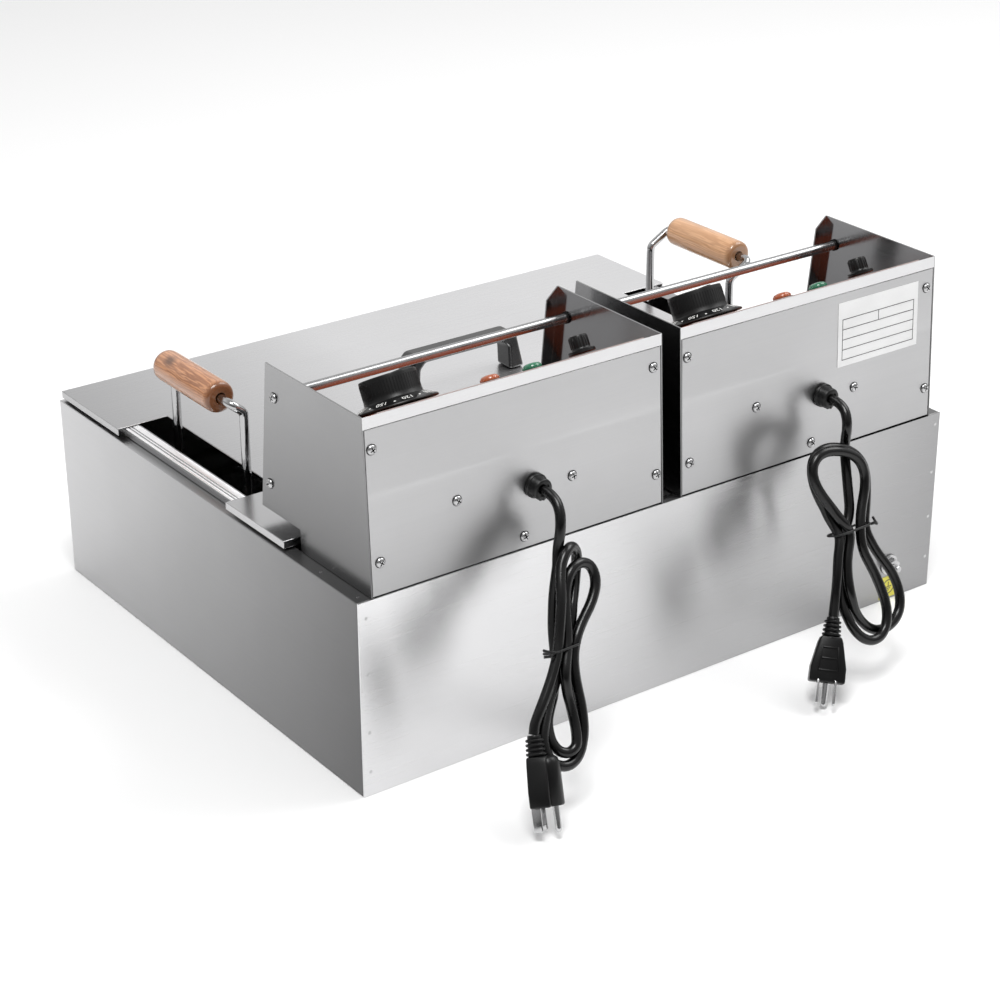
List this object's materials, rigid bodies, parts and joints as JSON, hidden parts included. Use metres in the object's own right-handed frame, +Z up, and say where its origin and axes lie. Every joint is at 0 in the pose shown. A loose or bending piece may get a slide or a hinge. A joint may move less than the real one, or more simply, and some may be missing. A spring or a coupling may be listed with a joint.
{
  "type": "countertop electric fryer",
  "caption": "Wide stainless countertop fryer with a shallow oil tank, flat lid, lift-out rack on wooden-handled bails and lift-out control heads with tied mains leads.",
  "frame": {"origin": "bottom centre of the box round the casing and its rear earth stud", "axes": "+Z up, +Y out of the rear panel that carries the mains leads, operator side -Y, +X to the viewer's left when looking at the rear"},
  "size_m": [0.54, 0.5551, 0.2924],
  "materials": {
    "steel": "brushed",
    "inner_steel": "satin",
    "chrome": "polished",
    "black_plastic": "satin",
    "lead_rubber": "satin",
    "wood": "varnished",
    "panel_film": "satin",
    "amber_lens": "gloss",
    "green_lens": "gloss",
    "ceramic": "matt",
    "copper": "bright",
    "element_steel": "dark"
  },
  "bodies": {
    "casing": {"casing_wrap": "steel", "back_panel": "steel", "base_plate": "inner_steel", "rear_shelf": "inner_steel", "earth_stud": "chrome", "oil_tank": "inner_steel", "deck_plate": "steel"},
    "head_a": {"head_shell_a": "steel", "back_plate_a": "steel", "control_plate_a": "panel_film", "guard_rail_a": "chrome", "thermostat_a": "inner_steel", "sensor_a": "copper", "lamp_amber_a": "amber_lens", "lamp_green_a": "green_lens", "limiter_a": "ceramic", "terminal_block_a": "ceramic", "element_a": "element_steel", "element_guard_a": "inner_steel", "gland_a": "black_plastic", "cord_a": "lead_rubber", "cord_hank_a": "lead_rubber", "cord_tie_a": "black_plastic", "plug_a": "lead_rubber"},
    "head_b": {"head_shell_b": "steel", "back_plate_b": "steel", "control_plate_b": "panel_film", "guard_rail_b": "chrome", "thermostat_b": "inner_steel", "sensor_b": "copper", "lamp_amber_b": "amber_lens", "lamp_green_b": "green_lens", "limiter_b": "ceramic", "terminal_block_b": "ceramic", "element_b": "element_steel", "element_guard_b": "inner_steel", "gland_b": "black_plastic", "cord_b": "lead_rubber", "cord_hank_b": "lead_rubber", "cord_tie_b": "black_plastic", "plug_b": "lead_rubber"},
    "knob_a": {"knob_a": "black_plastic"},
    "knob_b": {"knob_b": "black_plastic"},
    "reset_a": {"reset_cap_a": "black_plastic"},
    "reset_b": {"reset_cap_b": "black_plastic"},
    "rack": {"fry_rack": "chrome", "bail_a": "chrome", "bail_b": "chrome"},
    "grip_a": {"grip_a": "wood"},
    "grip_b": {"grip_b": "wood"},
    "lid": {"lid": "steel", "lid_handle": "black_plastic"}
  },
  "joints": [
    {"name": "head_a_lift", "type": "slide", "parent": "casing", "child": "head_a", "axis": [0, 0, 1], "range_m": [0, 0.16]},
    {"name": "head_b_lift", "type": "slide", "parent": "casing", "child": "head_b", "axis": [0, 0, 1], "range_m": [0, 0.16]},
    {"name": "rack_lift", "type": "slide", "parent": "head_a", "child": "rack", "axis": [0, 0, 1], "range_m": [0, 0.12]},
    {"name": "lid_lift", "type": "slide", "parent": "rack", "child": "lid", "axis": [0, 0, 1], "range_m": [0, 0.12]},
    {"name": "knob_a_turn", "type": "hinge", "parent": "head_a", "child": "knob_a", "pos_m": [0.21045, 0.1686, 0.26853], "axis": [0, -0.4924, 0.8704], "range_deg": [-270, 0]},
    {"name": "reset_a_press", "type": "slide", "parent": "head_a", "child": "reset_a", "axis": [0, 0.4924, -0.8704], "range_m": [0, 0.0016], "stiffness_N_per_m": 400},
    {"name": "knob_b_turn", "type": "hinge", "parent": "head_b", "child": "knob_b", "pos_m": [-0.05645, 0.1686, 0.26853], "axis": [0, -0.4924, 0.8704], "range_deg": [-270, 0]},
    {"name": "reset_b_press", "type": "slide", "parent": "head_b", "child": "reset_b", "axis": [0, 0.4924, -0.8704], "range_m": [0, 0.0016], "stiffness_N_per_m": 400},
    {"name": "grip_a_spin", "type": "hinge", "parent": "rack", "child": "grip_a", "pos_m": [0.2407, -0.052, 0.215], "axis": [0, 1, 0], "continuous": true},
    {"name": "grip_b_spin", "type": "hinge", "parent": "rack", "child": "grip_b", "pos_m": [-0.2522, -0.052, 0.219], "axis": [0, 1, 0], "continuous": true}
  ],
  "couplings": [
    {"joint": "head_b_lift", "follows": "head_a_lift", "ratio": 1}
  ]
}
